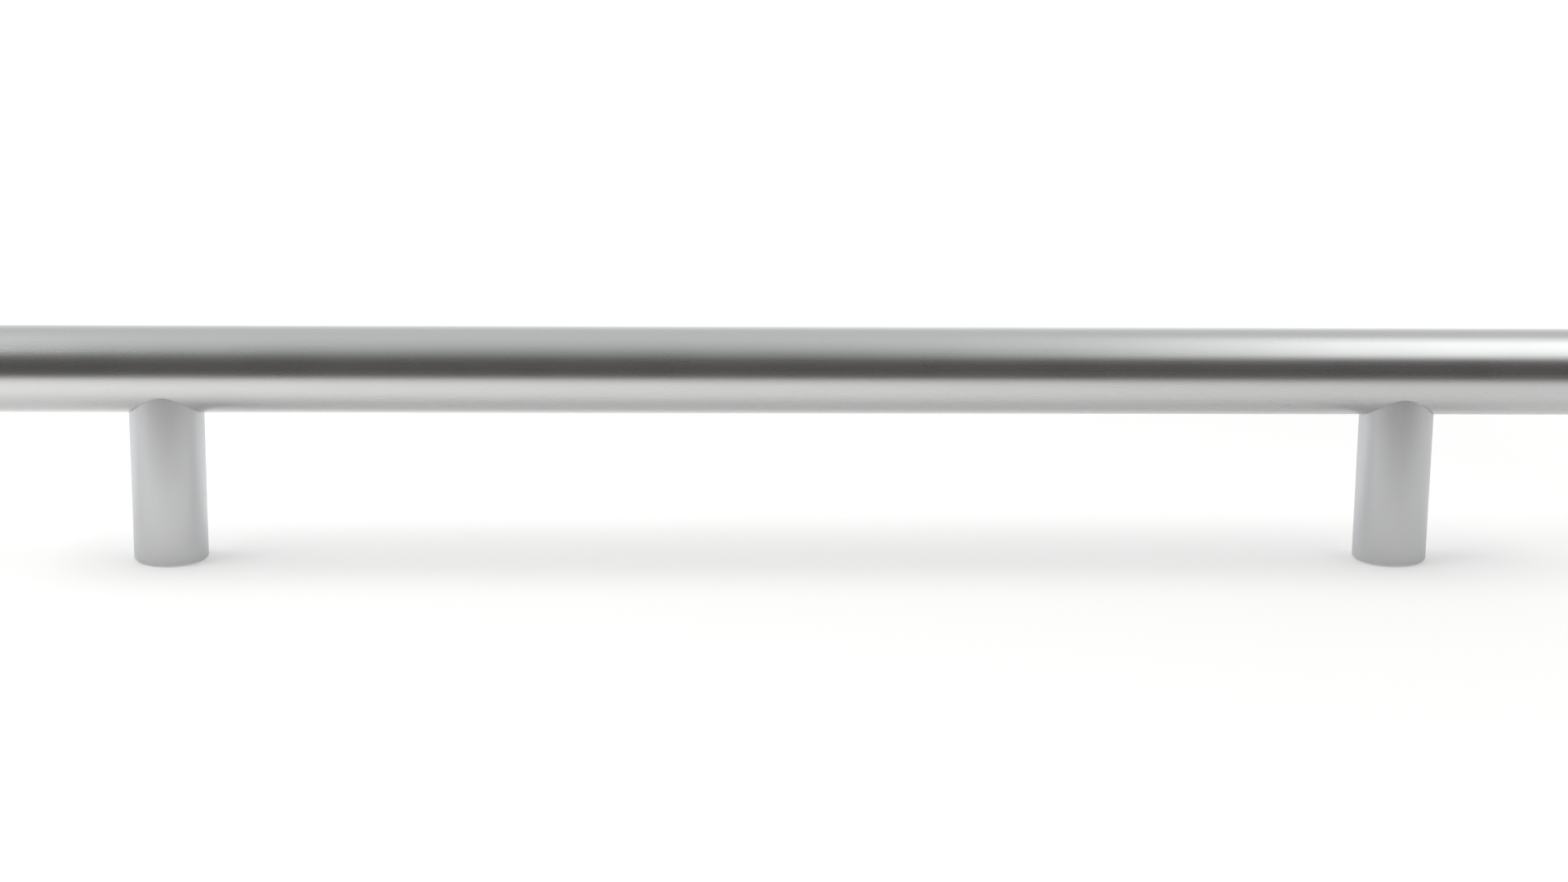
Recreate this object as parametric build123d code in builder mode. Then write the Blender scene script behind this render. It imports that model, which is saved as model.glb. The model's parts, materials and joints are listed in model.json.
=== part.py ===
from build123d import *

import os
from math import radians, sqrt, tan

# Bridge pull handle: a round bar carried by two round posts, each screwed on to a hidden stud.
#
# Frame: millimetres, +Z up. The origin is on the mounting surface, midway between the two posts.
# The bar runs along X, above the mounting surface. -X is the left side.
#
# How it goes together: the underside of the bar has two flat-bottomed round seats, with a tapped
# hole in the floor of each. A headless set screw is driven into that hole and stands out of it as
# a stud. The post turns on to the stud until its end face bottoms in the seat. The foot of each
# post has a second tapped hole, for the fixing screw that comes through the door.
#
# Threads are drawn as plain walls at their nominal size.

# ---------------------------------------------------------------- driving dimensions, mm
bar_diameter = 14.0
post_diameter = 12.0
hole_centres = 200.0  # from one fixing hole to the other
overhang = 30.0  # length of bar beyond the axis of each post
finger_gap = 24.5  # clear height from the mounting surface to the underside of the bar

bar_end_chamfer = 0.8
foot_chamfer = 0.4  # on the edge that stands on the door
head_chamfer = 0.4  # lead-in on the end that goes into the seat

seat_land = 0.6  # depth of the seat past the point where its wall becomes a full ring
seat_clearance = 0.03  # all round the post, in its seat

fixing_thread_diameter = 4.0  # M4
fixing_drill_diameter = 3.3
fixing_thread_depth = 12.0

stud_thread_diameter = 6.0  # M6
stud_drill_diameter = 5.0
stud_length = 12.0
stud_point_diameter = 4.0  # flat end face, inside the chamfer
stud_clearance = 0.02  # round the stud in its threads, and where its point jams
stud_end_room = 0.9  # thread left free past the lower end of the stud
socket_across_flats = 3.0  # hexagon key
socket_depth = 3.5

drill_point_angle = 118.0
drill_runout = 1.0  # plain drilled length past the end of a thread
mouth_chamfer = 0.3  # countersink at the mouth of a tapped hole
bar_roof = 2.0  # metal left between the point of the drill and the top of the bar

# ---------------------------------------------------------------- derived dimensions, mm
bar_radius = bar_diameter / 2
post_radius = post_diameter / 2
seat_radius = post_radius + seat_clearance

bar_length = hole_centres + 2 * overhang
bar_axis_height = finger_gap + bar_radius
bar_top = finger_gap + bar_diameter
post_positions = {"left": -hole_centres / 2, "right": hole_centres / 2}

# The wall of the seat becomes a full ring at the depth where the bar is as wide as the seat.
full_ring_depth = bar_radius - sqrt(max(bar_radius**2 - seat_radius**2, 0))
seat_floor = finger_gap + full_ring_depth + seat_land
post_length = seat_floor


def drill_point_length(drill_diameter):
    return drill_diameter / 2 / tan(radians(drill_point_angle / 2))


drilled_room = bar_top - bar_roof - seat_floor
bar_thread_depth = drilled_room - drill_point_length(stud_drill_diameter) - drill_runout
stud_radius = stud_thread_diameter / 2 - stud_clearance
stud_chamfer = stud_radius - stud_point_diameter / 2
# The stud stops where its chamfered point jams on the end of the thread in the bar.
point_past_thread = (stud_drill_diameter - stud_point_diameter) / 2 - stud_clearance
stud_top = seat_floor + bar_thread_depth + point_past_thread
stud_bottom = stud_top - stud_length
post_thread_depth = seat_floor - stud_bottom + stud_end_room


def tapped_hole(x, mouth_height, thread_diameter, drill_diameter, thread_depth, upwards):
    """Cuts a blind tapped hole, on the vertical line at x, into the part that is being built.

    From its mouth inwards it has a countersink, a wall at the thread's nominal size, a plain
    length at the size of the tap drill, and the cone of the drill's point.
    """
    into = 1 if upwards else -1
    section_plane = Plane((x, 0, mouth_height), x_dir=(1, 0, 0), z_dir=(0, -into, 0))
    thread_radius = thread_diameter / 2
    drill_radius = drill_diameter / 2
    drill_end = thread_depth + drill_runout
    with BuildSketch(section_plane) as half_section:
        with BuildLine():
            Polyline(
                (0, 0),
                (thread_radius + mouth_chamfer, 0),
                (thread_radius, mouth_chamfer),
                (thread_radius, thread_depth),
                (drill_radius, thread_depth),
                (drill_radius, drill_end),
                (0, drill_end + drill_point_length(drill_diameter)),
                close=True,
            )
        make_face()
    revolve(half_section.sketch, axis=Axis((x, 0, 0), (0, 0, 1)), mode=Mode.SUBTRACT)


os.makedirs("parts", exist_ok=True)

# ---------------------------------------------------------------- the bar
with BuildPart() as grip_bar:
    with BuildSketch(Plane.YZ.offset(-bar_length / 2)):
        with Locations((0, bar_axis_height)):
            Circle(bar_radius)
    extrude(amount=bar_length)
    chamfer(grip_bar.faces().filter_by(Axis.X).edges(), bar_end_chamfer)

    # One round seat for each post, milled up into the underside. Where the seat's wall runs out
    # through the round bar, its edge is the saddle-shaped line that shows at the joint.
    with BuildSketch(Plane.XY.offset(seat_floor)):
        with GridLocations(hole_centres, 0, 2, 1):
            Circle(seat_radius)
    extrude(amount=-bar_diameter, mode=Mode.SUBTRACT)

    for post_x in post_positions.values():
        tapped_hole(
            post_x,
            seat_floor,
            stud_thread_diameter,
            stud_drill_diameter,
            bar_thread_depth,
            upwards=True,
        )

grip_bar.part.label = "grip_bar"
export_step(grip_bar.part, "parts/grip_bar.step")

# ---------------------------------------------------------------- the posts
for side, post_x in post_positions.items():
    with BuildPart() as post:
        with BuildSketch():
            with Locations((post_x, 0)):
                Circle(post_radius)
        extrude(amount=post_length)
        foot, head = post.faces().filter_by(Axis.Z).sort_by(Axis.Z)
        chamfer(foot.edges(), foot_chamfer)
        chamfer(head.edges(), head_chamfer)
        tapped_hole(
            post_x,
            0,
            fixing_thread_diameter,
            fixing_drill_diameter,
            fixing_thread_depth,
            upwards=True,
        )
        tapped_hole(
            post_x,
            post_length,
            stud_thread_diameter,
            stud_drill_diameter,
            post_thread_depth,
            upwards=False,
        )

    post.part.label = f"{side}_post"
    export_step(post.part, f"parts/{side}_post.step")

# ---------------------------------------------------------------- the studs
for side, post_x in post_positions.items():
    with BuildPart() as stud:
        with BuildSketch(Plane.XY.offset(stud_bottom)):
            with Locations((post_x, 0)):
                Circle(stud_radius)
        extrude(amount=stud_length)
        chamfer(stud.faces().filter_by(Axis.Z).edges(), stud_chamfer)
        # The hexagon socket opens downwards, so the key reaches it before the post is fitted.
        with BuildSketch(Plane.XY.offset(stud_bottom)):
            with Locations((post_x, 0)):
                RegularPolygon(socket_across_flats / 2, side_count=6, major_radius=False)
        extrude(amount=socket_depth, mode=Mode.SUBTRACT)

    stud.part.label = f"{side}_stud"
    export_step(stud.part, f"parts/{side}_stud.step")

print(f"bar length {bar_length:.1f}, axis height {bar_axis_height:.1f}, top {bar_top:.1f}")
print(f"seat floor {seat_floor:.3f}, post length {post_length:.3f}")
print(f"thread in the bar {bar_thread_depth:.3f}, thread in the post {post_thread_depth:.3f}")
print(f"stud from {stud_bottom:.3f} to {stud_top:.3f}")
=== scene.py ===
# %% [markdown]
# # A bridge pull handle
# This lesson dresses a bridge pull handle: a round bar that stands off a door on two slimmer
# round posts. The handle's solid model is already made at its real size, and it comes in here as
# a fixed frame. What is left to make is what the eye sees: fine round surfaces, softened edges,
# the screw threads, the satin metal, and the light around it.
#
# Every length in Blender is in metres, in the same frame as the solid model. The origin is on the
# mounting surface, midway between the posts, the bar runs along X, and Z points up to the bar.

# %% Load the frame
import json
import math

import bmesh
import bpy
import numpy as np
from mathutils import Matrix, Vector


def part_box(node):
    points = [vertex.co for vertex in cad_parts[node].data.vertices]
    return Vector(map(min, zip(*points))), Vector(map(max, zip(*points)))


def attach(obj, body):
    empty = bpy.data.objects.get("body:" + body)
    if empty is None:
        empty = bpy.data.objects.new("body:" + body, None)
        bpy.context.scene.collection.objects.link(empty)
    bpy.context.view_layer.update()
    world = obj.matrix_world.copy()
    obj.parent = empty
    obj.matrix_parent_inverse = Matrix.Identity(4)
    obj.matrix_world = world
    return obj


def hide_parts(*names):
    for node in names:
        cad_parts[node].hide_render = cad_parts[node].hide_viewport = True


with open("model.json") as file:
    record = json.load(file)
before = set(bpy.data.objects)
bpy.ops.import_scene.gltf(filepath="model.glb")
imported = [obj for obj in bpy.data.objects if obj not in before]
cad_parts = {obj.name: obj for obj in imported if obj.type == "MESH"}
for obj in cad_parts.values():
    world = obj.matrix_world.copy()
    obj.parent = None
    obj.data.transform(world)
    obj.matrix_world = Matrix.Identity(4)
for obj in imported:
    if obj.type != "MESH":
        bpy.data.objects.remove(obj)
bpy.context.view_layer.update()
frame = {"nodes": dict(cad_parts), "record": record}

print("solid model:", sorted(frame["nodes"]))

# %% [markdown]
# ## Sizes
# The sizes come from the frame wherever it holds them, so a change of the solid model changes the
# looks with it. A box gives the outside of each piece. The record's mounts give what a box can't:
# the axis, radius and depth of the tapped hole in each foot. What is left is a short list of
# small machining sizes, the same ones as in the solid model.

# %% Read the sizes
MM = 0.001

mounts = {mount["name"]: mount for mount in frame["record"]["mounts"]}
fixing_thread = mounts["left_fixing_thread"]["dims"]
hole_centres = mounts["fixing_centres"]["dims"]["spacing_x_mm"] * MM
post_x = {"left_post": -hole_centres / 2, "right_post": hole_centres / 2}

bar_low, bar_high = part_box("grip_bar")
bar_radius = round((bar_high.y - bar_low.y) / 2, 6)
bar_end = round(bar_high.x, 6)
bar_axis_z = round(bar_low.z, 6) + bar_radius

_, post_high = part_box("right_post")
post_radius = round(post_high.x - post_x["right_post"], 5)
post_top = post_high.z

stud_low, stud_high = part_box("right_stud")
stud_radius = round(stud_high.x - post_x["right_post"], 5)

bar_end_chamfer = 0.8 * MM
foot_chamfer = 0.4 * MM
head_chamfer = 0.4 * MM
mouth_chamfer = 0.3 * MM
seat_clearance = 0.03 * MM
stud_clearance = 0.02 * MM
drill_runout = 1.0 * MM
stud_end_room = 0.9 * MM
fixing_drill_radius = 1.65 * MM
stud_drill_radius = 2.5 * MM
stud_point_radius = 2.0 * MM
socket_across_flats = 3.0 * MM
socket_depth = 3.5 * MM
drill_point_slope = math.tan(math.radians(118 / 2))

seat_radius = post_radius + seat_clearance
fixing_radius = fixing_thread["r_mm"] * MM
fixing_depth = fixing_thread["length_mm"] * MM + mouth_chamfer
stud_hole_radius = stud_radius + stud_clearance
point_past_thread = stud_drill_radius - stud_point_radius - stud_clearance
bar_thread_end = stud_high.z - point_past_thread
post_thread_end = stud_low.z - stud_end_room

print(f"bar: {bar_radius * 2 / MM:.2f} mm across, {bar_end * 2 / MM:.1f} mm long")
print(f"posts: {post_radius * 2 / MM:.2f} mm across, {hole_centres / MM:.1f} mm apart")

# %% [markdown]
# ## Turned pieces as rings of points
# Every piece of this handle is made on a lathe, so each one is a row of rings: a ring of points,
# then the next ring, with a skin of four-sided faces between them. Blender's Screw modifier does
# the same for a piece that is round all along. Rings made in code can do one thing more: a ring
# need not be a circle, so the same skin runs from the round bar into a seat, or from a round stud
# into a hexagon socket.
#
# A machined edge is never quite sharp. The profile of each piece is drawn with its real corners,
# and each corner is then swapped for a tiny arc, which catches the light in a thin line.

# %% A mesh built ring by ring
# Points round a turned piece: a multiple of 6, so that a hexagon's corners fall on them.
TURN_STEPS = 192
turn = np.arange(TURN_STEPS) * 2 * math.pi / TURN_STEPS

# Faces that meet at more than this angle keep a sharp edge between them.
SHARP_ANGLE = math.radians(24)


class RingMesh:
    """The points and faces of one piece, gathered ring by ring."""

    def __init__(self):
        self.points = []
        self.faces = []

    def ring(self, places):
        first = len(self.points)
        self.points.extend(tuple(place) for place in places)
        return list(range(first, len(self.points)))

    def skin(self, one, other):
        for i in range(len(one)):
            j = (i + 1) % len(one)
            self.faces.append((one[i], one[j], other[j], other[i]))

    def cap(self, ring):
        self.faces.append(tuple(ring))

    def skin_all(self, rings):
        for one, other in zip(rings, rings[1:]):
            self.skin(one, other)

    def finish(self, name):
        """Makes the object, with its faces pointing out and its real corners kept sharp."""
        mesh = bpy.data.meshes.new(name)
        mesh.from_pydata(self.points, [], self.faces)
        work = bmesh.new()
        work.from_mesh(mesh)
        bmesh.ops.recalc_face_normals(work, faces=work.faces)
        work.to_mesh(mesh)
        work.free()
        mesh.shade_smooth()
        mesh.set_sharp_from_angle(angle=SHARP_ANGLE)
        piece = bpy.data.objects.new(name, mesh)
        bpy.context.scene.collection.objects.link(piece)
        print(f"{name}: {len(mesh.polygons)} faces")
        return piece


def upright_ring(x, radius, z, angles=turn):
    """A ring round the upright axis at x, with one radius or a radius for each angle."""
    east = x + radius * np.cos(angles)
    north = radius * np.sin(angles)
    return np.column_stack([east, north, np.full(len(angles), z)])


# %% Soften the corners of a profile
# An arc uses up to this share of the shorter straight beside its corner.
ARC_SHARE = 0.45


def soften(corners, rounding, steps=4):
    """A profile with every inner corner swapped for an arc. The two end points stay."""
    corners = [np.array(corner, float) for corner in corners]
    path = [corners[0]]
    for before, corner, after in zip(corners, corners[1:], corners[2:]):
        back = (before - corner) / np.linalg.norm(before - corner)
        on = (after - corner) / np.linalg.norm(after - corner)
        half = math.acos(np.clip(back @ on, -1, 1)) / 2
        shortest = min(np.linalg.norm(before - corner), np.linalg.norm(after - corner))
        reach = min(rounding / math.tan(half), shortest * ARC_SHARE)
        radius = reach * math.tan(half)
        middle = corner + (back + on) / np.linalg.norm(back + on) * radius / math.sin(half)
        start = corner + back * reach - middle
        end = corner + on * reach - middle
        for share in np.linspace(0, 1, steps + 1):
            spoke = start * (1 - share) + end * share
            path.append(middle + spoke / np.linalg.norm(spoke) * radius)
    path.append(corners[-1])
    return path


print(f"{TURN_STEPS} points round each turned piece")

# %% [markdown]
# ## Satin metal
# The handle is bright metal that was brushed to a satin. Seen close, satin is thousands of fine
# scratches that all run one way: along the bar, and round the posts, because a post is brushed
# while it turns. The scratches blur each reflection, which is what roughness does in the shader.
# A fine streaked noise, stretched the way the brush went, varies that roughness a little and
# lifts a bump of a few thousandths of a millimetre, so a close view shows a grain and a far one a
# sheen.

# %% Helpers for node trees
def add_node(tree, kind, links=None, **settings):
    """Adds a node, sets its properties and inputs by name, and links its inputs."""
    node = tree.nodes.new(kind)
    for name, value in settings.items():
        setattr(node, name, value)
    for name, source in (links or {}).items():
        socket = node.inputs[name]
        if isinstance(source, bpy.types.NodeSocket):
            tree.links.new(source, socket)
        else:
            socket.default_value = source
    return node


def math_of(tree, operation, *values):
    """The result of one Math node."""
    return add_node(tree, "ShaderNodeMath", dict(enumerate(values)), operation=operation).outputs[0]


def grade(tree, value, start, end, low, high, smooth=False):
    """Goes from low to high while the value goes from start to end, and no further."""
    return add_node(
        tree, "ShaderNodeMapRange",
        {"Value": value, "From Min": start, "From Max": end, "To Min": low, "To Max": high},
        interpolation_type="SMOOTHSTEP" if smooth else "LINEAR",
    ).outputs["Result"]


def new_material(name):
    """An empty material made of nodes, and its tree."""
    material = bpy.data.materials.new(name)
    material.use_nodes = True
    material.node_tree.nodes.clear()
    return material, material.node_tree


def metal_surface(tree, colour, metallic, roughness, relief, strength, depth):
    """The end of a metal's tree: its relief as a bump, the metal itself and the output."""
    bump = add_node(
        tree, "ShaderNodeBump", {"Height": relief, "Strength": strength, "Distance": depth},
    )
    metal = add_node(
        tree, "ShaderNodeBsdfPrincipled",
        {
            "Base Color": (*colour, 1), "Metallic": metallic,
            "Roughness": roughness, "Normal": bump.outputs["Normal"],
        },
    )
    add_node(tree, "ShaderNodeOutputMaterial", {"Surface": metal.outputs["BSDF"]})


# %% The satin finish
GRAIN_DEPTH = 0.004 * MM
GRAIN_STRENGTH = 0.12
GRAIN_SPREAD = 0.02  # how far the roughness strays either way along the grain


def satin_metal(name, colour, roughness, grain, metallic=1.0):
    """Brushed metal. grain is how fine the streaks are along X, Y and Z, in streaks per metre."""
    material, tree = new_material(name)
    place = add_node(tree, "ShaderNodeTexCoord").outputs["Object"]
    stretched = add_node(tree, "ShaderNodeMapping", {"Vector": place, "Scale": grain})
    streaks = add_node(
        tree, "ShaderNodeTexNoise",
        {"Vector": stretched.outputs["Vector"], "Scale": 1.0, "Detail": 3.0, "Roughness": 0.6},
    ).outputs["Fac"]
    clouds = add_node(
        tree, "ShaderNodeTexNoise", {"Vector": place, "Scale": 60.0, "Detail": 2.0},
    ).outputs["Fac"]
    mixed = math_of(tree, "ADD", streaks, clouds)
    worn = grade(tree, mixed, 0.7, 1.3, roughness - GRAIN_SPREAD, roughness + GRAIN_SPREAD)
    metal_surface(tree, colour, metallic, worn, streaks, GRAIN_STRENGTH, GRAIN_DEPTH)
    return material


# %% [markdown]
# ## The faced ends
# The two ends of the bar and the feet of the posts are cut flat on the lathe. The tool travels in
# towards the middle while the metal turns, so it leaves fine rings instead of long streaks. A
# Wave texture draws rings round an axis that runs through its origin. The bar's ends need that
# axis along the middle of the bar, and each foot needs it up the middle of its post. The two
# posts share one material, because the place is folded over at X = 0 before the rings are drawn.

# %% The faced finish
RINGS_PER_METRE = 2400.0
RING_DEPTH = 0.003 * MM
RING_STRENGTH = 0.35
RING_SPREAD = 0.04  # how far the roughness strays either way from ring to ring


def faced_metal(name, colour, roughness, metallic, centre, axis):
    """Metal that was faced on a lathe: fine rings round an axis, the same either side of X = 0."""
    material, tree = new_material(name)
    place = add_node(tree, "ShaderNodeTexCoord").outputs["Object"]
    folded = add_node(tree, "ShaderNodeVectorMath", {0: place}, operation="ABSOLUTE").outputs[0]
    from_centre = add_node(
        tree, "ShaderNodeVectorMath", {0: folded, 1: centre}, operation="SUBTRACT",
    ).outputs[0]
    rings = add_node(
        tree, "ShaderNodeTexWave",
        {"Vector": from_centre, "Scale": RINGS_PER_METRE, "Distortion": 0.6, "Detail": 2.0},
        wave_type="RINGS", rings_direction=axis,
    ).outputs["Fac"]
    dull = grade(tree, rings, 0.0, 1.0, roughness - RING_SPREAD, roughness + RING_SPREAD)
    metal_surface(tree, colour, metallic, dull, rings, RING_STRENGTH, RING_DEPTH)
    return material


def give_faces(piece, material, is_faced):
    """Gives a second material to the flat faces that a test picks out by their middle."""
    piece.data.materials.append(material)
    picked = [face for face in piece.data.polygons if is_faced(face.center)]
    for face in picked:
        face.material_index = 1
    print(f"{piece.name}: {len(picked)} faced faces")


# %% The handle's five finishes
# The posts look more matt than the bar, so their metal is mixed with a plain grey surface.
BAR_COLOUR = (0.67, 0.675, 0.67)
POST_COLOUR = (0.738, 0.745, 0.757)
STUD_COLOUR = (0.20, 0.20, 0.21)
POST_ROUGHNESS = 0.36
POST_METALLIC = 0.6

bar_satin = satin_metal("bar_satin", BAR_COLOUR, 0.275, (12, 2600, 2600))
post_satin = satin_metal(
    "post_satin", POST_COLOUR, POST_ROUGHNESS, (30, 30, 2600), metallic=POST_METALLIC,
)
stud_steel = satin_metal("stud_steel", STUD_COLOUR, 0.35, (400, 400, 900))

bar_faced = faced_metal("bar_faced_end", BAR_COLOUR, 0.3, 1.0, (0, 0, bar_axis_z), "X")
post_faced = faced_metal(
    "post_faced_foot", POST_COLOUR, POST_ROUGHNESS, POST_METALLIC, (hole_centres / 2, 0, 0), "Z",
)
for finish in (bar_satin, post_satin, stud_steel, bar_faced, post_faced):
    print(f"{finish.name}: {len(finish.node_tree.nodes)} nodes")

# %% [markdown]
# ## Screw threads
# A thread is one ridge that climbs round an axis: a screw's ridge stands out from its root, and a
# tapped hole's ridge stands in from its wall. It follows a rule, so Geometry Nodes make it. A
# straight line up the axis is cut into many short steps, each step is swung round by its own
# height, and a small trapezoid is swept along the helix that results. The ridge thins to almost
# nothing at both ends, as it does where a die or a tap runs out. One tree with named sizes makes
# every thread on the handle. Its result becomes a part of the piece's mesh: a closed shell of its
# own, which lies against the wall and isn't fused with it.
#
# A stud's ridge has to lie in the groove between two ridges of its hole. Both climb by the same
# pitch, so it is enough that one starts half a turn after the other.

# %% The helix and the ridge
STEPS_PER_TURN = 48
RUN_OUT_SHARE = 0.6  # of the pitch, over which a ridge thins at each end
THINNEST_SHARE = 0.05  # of the ridge, where it ends


def helix_curve(tree, size):
    """A line up the axis that is swung into a helix, and the height along it."""
    low = add_node(tree, "ShaderNodeCombineXYZ", {"Z": size["Bottom"]})
    high = add_node(tree, "ShaderNodeCombineXYZ", {"Z": size["Top"]})
    line = add_node(
        tree, "GeometryNodeCurvePrimitiveLine", {"Start": low.outputs[0], "End": high.outputs[0]},
    )
    fine = add_node(
        tree, "GeometryNodeResampleCurve", {"Curve": line.outputs[0], "Count": size["Steps"]},
    )
    place = add_node(tree, "GeometryNodeInputPosition")
    height = add_node(tree, "ShaderNodeSeparateXYZ", {0: place.outputs[0]}).outputs["Z"]
    climbed = math_of(tree, "DIVIDE", height, size["Pitch"])
    started = math_of(tree, "MULTIPLY", size["Half Turns"], 0.5)
    angle = math_of(tree, "MULTIPLY", math_of(tree, "ADD", climbed, started), 2 * math.pi)
    east = math_of(tree, "MULTIPLY", math_of(tree, "COSINE", angle), size["Wall Radius"])
    north = math_of(tree, "MULTIPLY", math_of(tree, "SINE", angle), size["Wall Radius"])
    swung = add_node(tree, "ShaderNodeCombineXYZ", {"X": east, "Y": north, "Z": height})
    helix = add_node(
        tree, "GeometryNodeSetPosition",
        {"Geometry": fine.outputs[0], "Position": swung.outputs[0]},
    )
    level = add_node(
        tree, "GeometryNodeSetCurveNormal", {"Curve": helix.outputs[0]}, mode="Z_UP",
    )
    return level.outputs[0], height


def ridge_profile(tree, size):
    """The ridge's trapezoid: its base on the wall, and its crest out from it or in."""
    profile = add_node(
        tree, "GeometryNodeCurvePrimitiveQuadrilateral",
        {"Height": size["Ridge Height"], "Bottom Width": size["Base Width"],
         "Top Width": size["Crest Width"], "Offset": 0.0},
        mode="TRAPEZOID",
    )
    half_height = math_of(tree, "MULTIPLY", size["Ridge Height"], 0.5)
    lift = add_node(tree, "ShaderNodeCombineXYZ", {"Y": half_height})
    based = add_node(
        tree, "GeometryNodeTransform",
        {"Geometry": profile.outputs[0], "Translation": lift.outputs[0]},
    )
    standing = add_node(tree, "ShaderNodeCombineXYZ", {"X": 1.0, "Y": size["Standing"], "Z": 1.0})
    stood = add_node(
        tree, "GeometryNodeTransform",
        {"Geometry": based.outputs[0], "Rotation": (0.0, 0.0, -math.pi / 2),
         "Scale": standing.outputs[0]},
    )
    return stood.outputs[0]


def thinning(tree, size, height):
    """The ridge's size along the helix: whole, but thin towards both ends."""
    from_low = math_of(tree, "SUBTRACT", height, size["Bottom"])
    from_high = math_of(tree, "SUBTRACT", size["Top"], height)
    from_end = math_of(tree, "MINIMUM", from_low, from_high)
    run_out = math_of(tree, "DIVIDE", from_end, size["Run Out"])
    return grade(tree, run_out, 0.0, 1.0, THINNEST_SHARE, 1.0)


# %% The thread tree
def make_thread_tree():
    tree = bpy.data.node_groups.new("screw_thread", "GeometryNodeTree")
    sizes = ("Bottom", "Top", "Wall Radius", "Pitch", "Half Turns", "Ridge Height", "Base Width",
             "Crest Width", "Run Out", "Standing")
    for size in sizes:
        tree.interface.new_socket(size, in_out="INPUT", socket_type="NodeSocketFloat")
    tree.interface.new_socket("Steps", in_out="INPUT", socket_type="NodeSocketInt")
    tree.interface.new_socket("Axis Place", in_out="INPUT", socket_type="NodeSocketVector")
    tree.interface.new_socket("Finish", in_out="INPUT", socket_type="NodeSocketMaterial")
    tree.interface.new_socket("Thread", in_out="OUTPUT", socket_type="NodeSocketGeometry")
    size = tree.nodes.new("NodeGroupInput").outputs

    helix, height = helix_curve(tree, size)
    ridge = add_node(
        tree, "GeometryNodeCurveToMesh",
        {"Curve": helix, "Profile Curve": ridge_profile(tree, size),
         "Scale": thinning(tree, size, height), "Fill Caps": True},
    )
    spot = add_node(tree, "GeometryNodePoints", {"Count": 1, "Position": size["Axis Place"]})
    placed = add_node(
        tree, "GeometryNodeInstanceOnPoints",
        {"Points": spot.outputs[0], "Instance": ridge.outputs[0]},
    )
    real = add_node(tree, "GeometryNodeRealizeInstances", {"Geometry": placed.outputs[0]})
    finish = add_node(
        tree, "GeometryNodeSetMaterial", {"Geometry": real.outputs[0], "Material": size["Finish"]},
    )
    out = tree.nodes.new("NodeGroupOutput")
    tree.links.new(finish.outputs[0], out.inputs["Thread"])
    return tree


thread_tree = make_thread_tree()
print(f"thread tree: {len(thread_tree.nodes)} nodes")

# %% Threads as plain meshes
def thread_mesh(x, z_from, z_to, wall_radius, pitch, ridge, outward, finish):
    """The plain mesh of one thread's ridge, which stands out from a screw or in from a hole."""
    height, base, crest = ridge
    holder = bpy.data.objects.new("thread_holder", bpy.data.meshes.new("thread_holder"))
    bpy.context.scene.collection.objects.link(holder)
    modifier = holder.modifiers.new("thread", "NODES")
    modifier.node_group = thread_tree
    values = {
        "Bottom": z_from, "Top": z_to, "Wall Radius": wall_radius, "Pitch": pitch,
        "Half Turns": 1.0 if outward else 0.0, "Standing": 1.0 if outward else -1.0,
        "Ridge Height": height, "Base Width": base, "Crest Width": crest,
        "Run Out": pitch * RUN_OUT_SHARE, "Steps": int((z_to - z_from) / pitch * STEPS_PER_TURN),
        "Axis Place": (x, 0.0, 0.0), "Finish": finish,
    }
    for item in thread_tree.interface.items_tree:
        if item.in_out == "INPUT":
            modifier[item.identifier] = values[item.name]
    graph = bpy.context.evaluated_depsgraph_get()
    mesh = bpy.data.meshes.new_from_object(holder.evaluated_get(graph))
    bpy.data.objects.remove(holder)
    return mesh


def add_threads(piece, threads):
    """Takes the ridges into the piece's own mesh."""
    work = bmesh.new()
    work.from_mesh(piece.data)
    for ridge in threads:
        work.from_mesh(ridge)
        bpy.data.meshes.remove(ridge)
    bmesh.ops.recalc_face_normals(work, faces=work.faces)
    work.to_mesh(piece.data)
    work.free()
    piece.data.shade_smooth()
    piece.data.set_sharp_from_angle(angle=SHARP_ANGLE)
    print(f"{piece.name}: {len(threads)} threads, {len(piece.data.polygons)} faces")


# %% The two threads
fixing_pitch = 0.7 * MM
stud_pitch = 1.0 * MM
# Height, width at the base and width at the crest of a metric thread's ridge, in pitches.
hole_ridge_share = (0.541, 0.875, 0.25)
screw_ridge_share = (0.590, 0.780, 0.11)


def hole_thread(x, z_from, z_to, wall_radius, pitch, finish):
    ridge = [share * pitch for share in hole_ridge_share]
    return thread_mesh(x, z_from, z_to, wall_radius, pitch, ridge, False, finish)


print(f"pitch: {fixing_pitch / MM:.1f} mm in the feet, {stud_pitch / MM:.1f} mm at the studs")

# %% [markdown]
# ## The posts
# A post is a plain turned cylinder with a tapped hole in each end: a small one in the foot for
# the screw that comes through the door, and a larger one in the head for the stud. Its profile
# starts at the point of the lower drilled hole, goes down and out round the foot, up the side,
# and back in to the point of the upper hole.

# %% Turn the two posts
edge_rounding = 0.09 * MM


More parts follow.
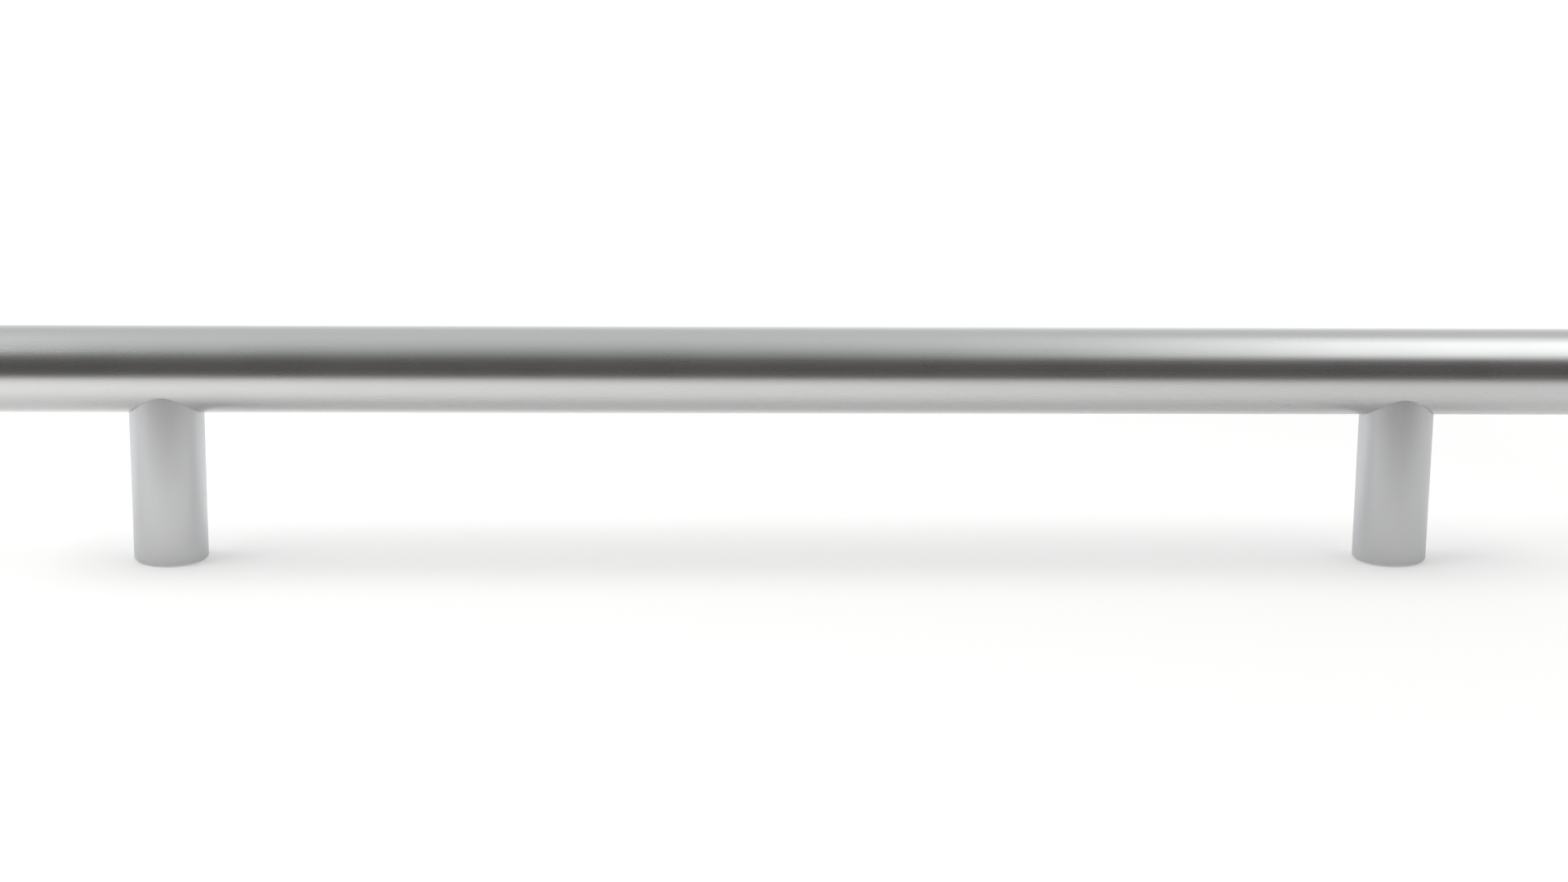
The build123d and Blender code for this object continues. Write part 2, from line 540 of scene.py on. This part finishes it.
def turn_post(name):
    x = post_x[name]
    drill_tip = fixing_drill_radius / drill_point_slope
    stud_drill_tip = stud_drill_radius / drill_point_slope
    fixing_end = fixing_depth + drill_runout
    stud_hole_end = post_thread_end - drill_runout
    corners = [
        (0, fixing_end + drill_tip),
        (fixing_drill_radius, fixing_end),
        (fixing_drill_radius, fixing_depth),
        (fixing_radius, fixing_depth),
        (fixing_radius, mouth_chamfer),
        (fixing_radius + mouth_chamfer, 0),
        (post_radius - foot_chamfer, 0),
        (post_radius, foot_chamfer),
        (post_radius, post_top - head_chamfer),
        (post_radius - head_chamfer, post_top),
        (stud_hole_radius + mouth_chamfer, post_top),
        (stud_hole_radius, post_top - mouth_chamfer),
        (stud_hole_radius, post_thread_end),
        (stud_drill_radius, post_thread_end),
        (stud_drill_radius, stud_hole_end),
        (0, stud_hole_end - stud_drill_tip),
    ]
    path = soften(corners, edge_rounding)
    work = RingMesh()
    rings = [work.ring(upright_ring(x, radius, z)) for radius, z in path[1:-1]]
    work.skin_all(rings)
    work.cap(rings[0])
    work.cap(rings[-1])
    return work.finish(name.replace("post", "turned_post"))


posts = {name: turn_post(name) for name in post_x}

# %% Cut their threads and face their feet
HAIR = 0.001 * MM  # a flat face lies this near its plane
thread_start = mouth_chamfer * 0.6  # a little way in from the foot
thread_top = post_top - mouth_chamfer

for name, post in posts.items():
    post.data.materials.append(post_satin)
    x = post_x[name]
    add_threads(post, [
        hole_thread(x, thread_start, fixing_depth, fixing_radius, fixing_pitch, post_satin),
        hole_thread(x, post_thread_end, thread_top, stud_hole_radius, stud_pitch, post_satin),
    ])
    give_faces(post, post_faced, lambda middle: middle.z < HAIR)

# %% [markdown]
# ## The bar
# The bar is round stock with a small bevel at each end, and two round seats milled up into its
# underside for the posts. The line where a seat breaks out through the round bar is the saddle
# shape that shows at each joint, so it has to be clean. A Boolean would cut it, but it leaves
# long thin faces that smear a reflection. Here the skin is planned instead. The bar is unrolled
# into a flat grid, a window is left out of the grid under each post, and rings step from the edge
# of the window in to the oval edge of the seat. Rolled up again, every point lies exactly on the
# round bar.

# %% Plan the grid of the unrolled bar
seat_floor = post_top
window_half_angle = math.radians(75)
window_half_length = seat_radius + 2.4 * MM
window_steps_round = 80
window_steps_along = 48
window_rings = 8
end_columns = 6
middle_columns = 24
first_columns = (end_columns, end_columns + window_steps_along + middle_columns)
end_lead = 1 * MM  # the first straight ring lies this far in from the bevel

# Round the bar the same angles are measured from its underside.
inside_window = window_steps_round // 2
assert math.isclose(turn[inside_window], window_half_angle)


def on_bar(x, angle):
    """The point of the bar's round surface at x, with the angle measured from its underside."""
    return x, bar_radius * math.sin(angle), bar_axis_z - bar_radius * math.cos(angle)


print(f"window: {window_half_length * 2 / MM:.1f} mm along, {window_steps_round} steps round")


# %% Build the bar
def build_bar():
    work = RingMesh()
    straight_end = bar_end - bar_end_chamfer
    end_corners = [
        (0, bar_end),
        (bar_radius - bar_end_chamfer, bar_end),
        (bar_radius, straight_end),
        (bar_radius, straight_end - end_lead),
    ]
    end_path = soften(end_corners, edge_rounding)[1:]

    def bar_ring(x, radius):
        return [(x, radius * math.sin(a), bar_axis_z - radius * math.cos(a)) for a in turn]

    left_end = [work.ring(bar_ring(-x, radius)) for radius, x in end_path]
    right_end = [work.ring(bar_ring(x, radius)) for radius, x in end_path]
    work.cap(left_end[0])
    work.cap(right_end[0])
    work.skin_all(left_end)
    work.skin_all(right_end)

    # The stations along the bar: fine steps across each window, coarse ones between.
    inner_end = straight_end - end_lead
    seat_xs = sorted(post_x.values())
    windows = [(x - window_half_length, x + window_half_length) for x in seat_xs]
    stops = [-inner_end, *windows[0], *windows[1], inner_end]
    counts = [end_columns, window_steps_along, middle_columns, window_steps_along, end_columns]
    stations = [-inner_end]
    for start, end, count in zip(stops, stops[1:], counts):
        stations.extend(np.linspace(start, end, count + 1)[1:])
    grid = [left_end[-1]]
    for x in stations[1:-1]:
        grid.append(work.ring([on_bar(x, a) for a in turn]))
    grid.append(right_end[-1])

    def in_a_window(column, row):
        along = any(first <= column < first + window_steps_along for first in first_columns)
        return along and (row < inside_window or row >= TURN_STEPS - inside_window)

    for column in range(len(grid) - 1):
        for row in range(TURN_STEPS):
            if not in_a_window(column, row):
                above = (row + 1) % TURN_STEPS
                corner = grid[column]
                other = grid[column + 1]
                work.faces.append((corner[row], corner[above], other[above], other[row]))

    for seat_x, first in zip(seat_xs, first_columns):
        cut_seat(work, grid, seat_x, first)
    return work.finish("satin_bar")


# %% Cut the seats
rim_softness = 0.06 * MM
seat_rounding = 0.05 * MM
wall_start = seat_floor - 0.2 * MM  # the last straight ring of the seat's round wall


def window_edge(grid, first):
    """The grid points round a window, in one loop, with the place of each in the window."""
    last = first + window_steps_along
    rows = list(range(-inside_window, inside_window + 1))
    columns = list(range(first, last + 1))
    loop = [(last, row) for row in rows[:-1]]
    loop += [(column, rows[-1]) for column in reversed(columns[1:])]
    loop += [(first, row) for row in reversed(rows[1:])]
    loop += [(column, rows[0]) for column in columns[:-1]]
    return [(grid[column][row % TURN_STEPS], column, row) for column, row in loop]


def cut_seat(work, grid, seat_x, first):
    """Skins one window: rings from its edge to the seat, then the seat and the tapped hole."""
    edge = window_edge(grid, first)
    outer = [index for index, column, row in edge]
    middle = first + window_steps_along / 2
    along = np.array([(column - middle) / (window_steps_along / 2) for index, column, row in edge])
    round_bar = np.array([row / inside_window for index, column, row in edge])
    angles = np.arctan2(round_bar, along)
    edge_x = seat_x + along * window_half_length
    edge_angle = round_bar * window_half_angle

    rim_x = seat_x + seat_radius * np.cos(angles)
    rim_y = seat_radius * np.sin(angles)
    rim_angle = np.arcsin(rim_y / bar_radius)

    # Rings from the window's edge to just short of the seat's rim.
    short_of_rim = rim_softness / (window_half_length - seat_radius)
    rings = [outer]
    for share in np.linspace(1, short_of_rim, window_rings)[1:]:
        x = rim_x + (edge_x - rim_x) * share
        angle = rim_angle + (edge_angle - rim_angle) * share
        rings.append(work.ring([on_bar(*place) for place in zip(x, angle)]))

    # The rim itself is softened with a short curve from the round surface into the seat's wall.
    start = np.array([work.points[index] for index in rings[-1]])
    corner = np.array([on_bar(*place) for place in zip(rim_x, rim_angle)])
    end = corner + [0, 0, rim_softness]
    for share in (0.3, 0.5, 0.7, 1.0):
        curve = start * (1 - share) ** 2 + corner * 2 * share * (1 - share) + end * share**2
        rings.append(work.ring(curve))

    drill_end = bar_thread_end + drill_runout
    inner_corners = [
        (seat_radius, wall_start),
        (seat_radius, seat_floor),
        (stud_hole_radius + mouth_chamfer, seat_floor),
        (stud_hole_radius, seat_floor + mouth_chamfer),
        (stud_hole_radius, bar_thread_end),
        (stud_drill_radius, bar_thread_end),
        (stud_drill_radius, drill_end),
        (0, drill_end + stud_drill_radius / drill_point_slope),
    ]
    for radius, z in soften(inner_corners, seat_rounding)[:-1]:
        rings.append(work.ring(upright_ring(seat_x, radius, z, angles)))
    work.skin_all(rings)
    work.cap(rings[-1])


# %% Put the bar together
bar = build_bar()
bar.data.materials.append(bar_satin)
thread_from = seat_floor + mouth_chamfer
add_threads(bar, [
    hole_thread(x, thread_from, bar_thread_end, stud_hole_radius, stud_pitch, bar_satin)
    for x in post_x.values()
])
give_faces(bar, bar_faced, lambda middle: abs(middle.x) > bar_end - HAIR)

# %% [markdown]
# ## The studs
# A headless set screw holds each joint. It is out of sight once the handle is put together, but
# it is a real piece, so it gets its hexagon socket and its thread. The socket's ring is a hexagon
# with as many points as the circles around it, so the same skin joins them.

# %% Turn the two studs
thread_depth = 0.613 * stud_pitch
stud_root_radius = stud_hole_radius - thread_depth
stud_chamfer = stud_root_radius - stud_point_radius
stud_rounding = 0.04 * MM
point_land = 0.2 * MM  # the flat ring round each end


def hexagon_ring(x, across_flats, z):
    flat_turn = (turn + math.pi / 6) % (math.pi / 3) - math.pi / 6
    radius = across_flats / 2 / np.cos(flat_turn)
    return upright_ring(x, radius, z)


def turn_stud(name, x):
    low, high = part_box(name)
    corners = [
        (stud_point_radius - point_land, low.z),
        (stud_point_radius, low.z),
        (stud_root_radius, low.z + stud_chamfer),
        (stud_root_radius, high.z - stud_chamfer),
        (stud_point_radius, high.z),
        (stud_point_radius - point_land, high.z),
    ]
    work = RingMesh()
    rings = [
        work.ring(hexagon_ring(x, socket_across_flats, low.z + socket_depth)),
        work.ring(hexagon_ring(x, socket_across_flats, low.z)),
    ]
    path = soften(corners, stud_rounding)
    rings += [work.ring(upright_ring(x, radius, z)) for radius, z in path]
    work.skin_all(rings)
    work.cap(rings[0])
    work.cap(rings[-1])
    return work.finish(name.replace("stud", "set_screw"))


# %% Cut the studs' threads
screw_ridge = [share * stud_pitch for share in screw_ridge_share]
studs = {}
for side in ("left", "right"):
    name = f"{side}_stud"
    x = post_x[f"{side}_post"]
    low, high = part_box(f"{side}_stud")
    stud = turn_stud(name, x)
    stud.data.materials.append(stud_steel)
    add_threads(stud, [
        thread_mesh(
            x, low.z + stud_chamfer, high.z - stud_chamfer, stud_root_radius, stud_pitch,
            screw_ridge, True, stud_steel,
        ),
    ])
    studs[name] = stud

# %% [markdown]
# ## What stands for what
# Each finished piece takes the place of its solid and rides on the handle's one body. The solids
# stay in the frame, out of sight, so they get the same finishes as the pieces that hide them.

# %% Finish the solids
finishes = {"bar_metal": bar_satin, "post_metal": post_satin}
for node in frame["nodes"].values():
    for slot in node.material_slots:
        slot.material = finishes.get(slot.name, stud_steel)
print("solids finished:", len(frame["nodes"]))

# %% Put the pieces on the frame
def dress(piece, node):
    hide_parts(node)
    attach(piece, "root")


dress(bar, "grip_bar")
for name, post in posts.items():
    dress(post, name)
for name, stud in studs.items():
    dress(stud, name)
print("pieces on the frame:", 1 + len(posts) + len(studs))

# %% [markdown]
# ## The floor
# The handle stands on white card that runs out of sight at the back. A card could be lit until it
# turns white, but the same light would wash out the metal. This card stays a matt white under a
# plain light, and a faint glow that only the camera sees lifts it the rest of the way. The glow
# grows with the distance, so the soft shadow round the handle stays.
#
# Satin metal is a soft mirror, and most of what shows on the underside of the bar is the card. So
# shade is painted into the card's colour towards its front edge, where it would run out of the
# light, and a painted pool of light that only reflections see makes it glow a little more on the
# left than on the right, but not under the bar. Seen from below the card is clear, and so it is
# for a ray that starts less than 0.4 mm above it, which lets light in under the feet.

# %% The card's colour and glow
CARD_WHITE = 0.93
CARD_WARMTH = (1.0, 0.99, 0.978, 1)
UNDER_FOOT = 0.4 * MM
# Each grade runs between two places, in metres, and goes from the third number to the fourth.
# Painted shade: the card's colour grows darker towards its front edge, where it would run out of
# the light.
FRONT_PAINTED_SHADE = (-0.20, -0.05, 0.25, CARD_WHITE)
BACKDROP_GLOW = (0.15, 0.9, 0.20, 0.6)
# The next two grade a painted light that only reflections see: more of it on the left, and none
# right under the bar.
PAINTED_LIGHT_LEFT_TO_RIGHT = (-0.12, 0.12, 0.25, 0.03)
CLEAR_OF_BAR = (0.004, 0.035, 0.0, 1.0)


def card_colour(tree, ray, front):
    """A warm white, with painted shade towards the front. The camera doesn't see the painted shade.
    """
    level = add_node(
        tree, "ShaderNodeMix", {0: ray["Is Camera Ray"], 2: front, 3: CARD_WHITE},
        data_type="FLOAT",
    ).outputs[0]
    return add_node(
        tree, "ShaderNodeMix", {0: level, 6: (0, 0, 0, 1), 7: CARD_WARMTH}, data_type="RGBA",
    ).outputs[2]


def backdrop_glow_and_painted_light(tree, ray, front, place, along):
    """How much the card glows: an even white for the camera, and for reflections a painted pool of
    light.
    """
    away = add_node(
        tree, "ShaderNodeVectorMath", {0: place}, operation="LENGTH",
    ).outputs["Value"]
    backdrop = grade(tree, away, *BACKDROP_GLOW)
    camera_glow = math_of(tree, "MULTIPLY", ray["Is Camera Ray"], backdrop)
    painted_light_sideways = grade(tree, along["X"], *PAINTED_LIGHT_LEFT_TO_RIGHT)
    from_bar = math_of(tree, "ABSOLUTE", along["Y"])
    clear_of_bar = grade(tree, from_bar, *CLEAR_OF_BAR, smooth=True)
    # Painted light: a pool on the card that only reflections see, brighter on the left, weaker
    # towards the front edge, and kept out from under the bar.
    painted_light_pool = math_of(tree, "MULTIPLY", math_of(tree, "MULTIPLY", painted_light_sideways, front), clear_of_bar)
    return math_of(tree, "MULTIPLY_ADD", ray["Is Glossy Ray"], painted_light_pool, camera_glow)


def card_material():
    material, tree = new_material("white_card")
    place = add_node(tree, "ShaderNodeTexCoord").outputs["Object"]
    along = add_node(tree, "ShaderNodeSeparateXYZ", {"Vector": place}).outputs
    ray = add_node(tree, "ShaderNodeLightPath").outputs
    # front is painted shade: the card's colour, and its painted light, fade towards the front edge.
    front = grade(tree, along["Y"], *FRONT_PAINTED_SHADE, smooth=True)
    card = add_node(tree, "ShaderNodeBsdfDiffuse", {"Color": card_colour(tree, ray, front)})
    light = add_node(
        tree, "ShaderNodeEmission",
        {"Color": (1, 1, 1, 1), "Strength": backdrop_glow_and_painted_light(tree, ray, front, place, along)},
    )
    both = add_node(
        tree, "ShaderNodeAddShader", {0: card.outputs["BSDF"], 1: light.outputs["Emission"]},
    )
    clear = add_node(tree, "ShaderNodeBsdfTransparent")
    below = add_node(tree, "ShaderNodeNewGeometry").outputs["Backfacing"]
    under_foot = math_of(tree, "LESS_THAN", ray["Ray Length"], UNDER_FOOT)
    one_sided = add_node(
        tree, "ShaderNodeMixShader",
        {0: math_of(tree, "MAXIMUM", below, under_foot), 1: both.outputs["Shader"],
         2: clear.outputs["BSDF"]},
    )
    add_node(tree, "ShaderNodeOutputMaterial", {"Surface": one_sided.outputs["Shader"]})
    return material


# %% Lay the card
def make_floor():
    reach = 6.0
    front = -0.23
    down = -0.03 * MM  # just below the feet
    corners = [
        (-reach, front, down), (reach, front, down), (reach, reach, down), (-reach, reach, down),
    ]
    mesh = bpy.data.meshes.new("studio_floor")
    mesh.from_pydata(corners, [], [(0, 1, 2, 3)])
    mesh.materials.append(card_material())
    floor = bpy.data.objects.new("studio_floor", mesh)
    bpy.context.scene.collection.objects.link(floor)
    print(f"floor: {2 * reach:.0f} m wide, its front edge {-front / MM:.0f} mm in front")


make_floor()

# %% [markdown]
# ## The room
# What makes metal look like metal is the room that it mirrors. Here the room is dark in front, so
# the bar shows one dark band along its length, and bright above and behind. An image of a studio
# could stand in for it. A colour ramp does the same with eleven levels: it is wound round the X
# axis, from straight in front, over the top or under the floor, to straight behind. The dark part
# is a little warm and the rest a little cool.
#
# The camera sees plain white instead of the room. The metal sees the room itself, because metal
# that mirrored white all round would lose the dark band that makes it look like metal.

# %% Light the room
# The light at each angle, in degrees from the front. A ramp has its two ends from the start, so
# they come first.
ROOM_LEVELS = [
    (0, 0.085), (180, 1.1), (32, 0.09), (46, 0.17), (60, 0.34), (76, 0.53), (92, 0.64), (108, 0.69),
    (140, 0.68), (154, 0.76), (164, 1.0),
]
ROOM_COOLNESS = 0.015
FRONT_WARMTH = 0.12
WARM_UP_TO = 60  # degrees from the front


def room_ramp(tree, share):
    """The room's colour, from its front at 0 to its back at 1."""
    room = add_node(tree, "ShaderNodeValToRGB", {"Fac": share})
    ramp = room.color_ramp
    for step, (degrees, level) in enumerate(ROOM_LEVELS):
        place = degrees / 180
        stop = ramp.elements[step] if step < 2 else ramp.elements.new(place)
        stop.position = place
        warmth = FRONT_WARMTH * max(0.0, 1 - degrees / WARM_UP_TO) - ROOM_COOLNESS
        stop.color = (level * (1 + warmth), level, level * (1 - warmth), 1)
    return room.outputs["Color"]


def make_world():
    world = bpy.data.worlds.new("studio")
    bpy.context.scene.world = world
    world.use_nodes = True
    tree = world.node_tree
    tree.nodes.clear()
    direction = add_node(tree, "ShaderNodeTexCoord").outputs["Generated"]
    along = add_node(tree, "ShaderNodeSeparateXYZ", {"Vector": direction}).outputs
    height = math_of(tree, "ABSOLUTE", along["Z"])
    frontwards = math_of(tree, "MULTIPLY", along["Y"], -1.0)
    angle = math_of(tree, "ARCTAN2", height, frontwards)
    room = room_ramp(tree, math_of(tree, "DIVIDE", angle, math.pi))
    ray = add_node(tree, "ShaderNodeLightPath").outputs
    shown = add_node(
        tree, "ShaderNodeMix", {0: ray["Is Camera Ray"], 6: room, 7: (1, 1, 1, 1)},
        data_type="RGBA",
    ).outputs[2]
    sky = add_node(tree, "ShaderNodeBackground", {"Color": shown, "Strength": 1.0})
    add_node(tree, "ShaderNodeOutputWorld", {"Surface": sky.outputs["Background"]})
    print(f"room: {len(ROOM_LEVELS)} levels of light from front to back")


make_world()

# %% [markdown]
# ## The softboxes
# A softbox is a lamp behind a wide white cloth, and it gives soft edges to shadows and
# highlights. One stands high on each side. A lamp's energy is in watts for the whole of it, while
# what metal mirrors is the brightness of the cloth, so each box is given by that and the energy
# is worked out from its size. The right box is two layers, a small one and a larger faint one, so
# it fades at its edge.

# %% Place the softboxes
def softbox(name, centre, size, brightness):
    """An area lamp that faces straight down and that the camera doesn't see."""
    lamp = bpy.data.lights.new(name, "AREA")
    lamp.shape = "RECTANGLE"
    lamp.size, lamp.size_y = size
    lamp.energy = brightness * math.pi * size[0] * size[1]
    box = bpy.data.objects.new(name, lamp)
    bpy.context.scene.collection.objects.link(box)
    box.location = centre
    box.visible_camera = False
    print(f"{name}: {lamp.energy:.2f} W")


softbox("right_softbox", (0.62, -0.24, 0.8), (0.8, 0.72), 0.58)
softbox("right_softbox_glow", (0.62, -0.225, 0.805), (0.86, 1.11), 0.48)
softbox("left_softbox", (-0.82, -0.10, 0.8), (0.8, 0.9), 2.65)

# %% [markdown]
# ## The camera
# The handle is seen from just above and a little to the left of its middle, from half a metre
# away, so near that both ends of the bar run out of the view. A camera could be aimed with a
# Track To constraint. Here its turn is worked out from three plain angles: how far it looks to
# the side, how far it looks down, and how far it leans.

# %% Place the camera
CAMERA_PLACE = (-0.019360, -0.519596, 0.144967)
TO_THE_SIDE, DOWN, LEAN = 2.111, 13.547, 0.571  # degrees
LENS, SENSOR = 75.38, 36.0  # mm, as on a real camera


def place_camera():
    camera_data = bpy.data.cameras.new("camera")
    camera = bpy.data.objects.new("camera", camera_data)
    bpy.context.scene.collection.objects.link(camera)
    camera_data.sensor_width = SENSOR
    camera_data.lens = LENS
    camera_data.clip_start = 0.01
    camera_data.clip_end = 50
    yaw, pitch, roll = (math.radians(angle) for angle in (TO_THE_SIDE, DOWN, LEAN))
    forward = Vector((
        math.sin(yaw) * math.cos(pitch), math.cos(yaw) * math.cos(pitch), -math.sin(pitch),
    ))
    right = Vector((math.cos(yaw), -math.sin(yaw), 0))
    up = right.cross(forward)
    side = right * math.cos(roll) + up * math.sin(roll)
    top = up * math.cos(roll) - right * math.sin(roll)
    turned = Matrix((side, top, -forward)).transposed()
    camera.matrix_world = Matrix.Translation(CAMERA_PLACE) @ turned.to_4x4()
    bpy.context.scene.camera = camera
    print(f"camera: {Vector(CAMERA_PLACE).length:.3f} m from the origin")


place_camera()
bpy.context.scene.view_settings.view_transform = "Standard"
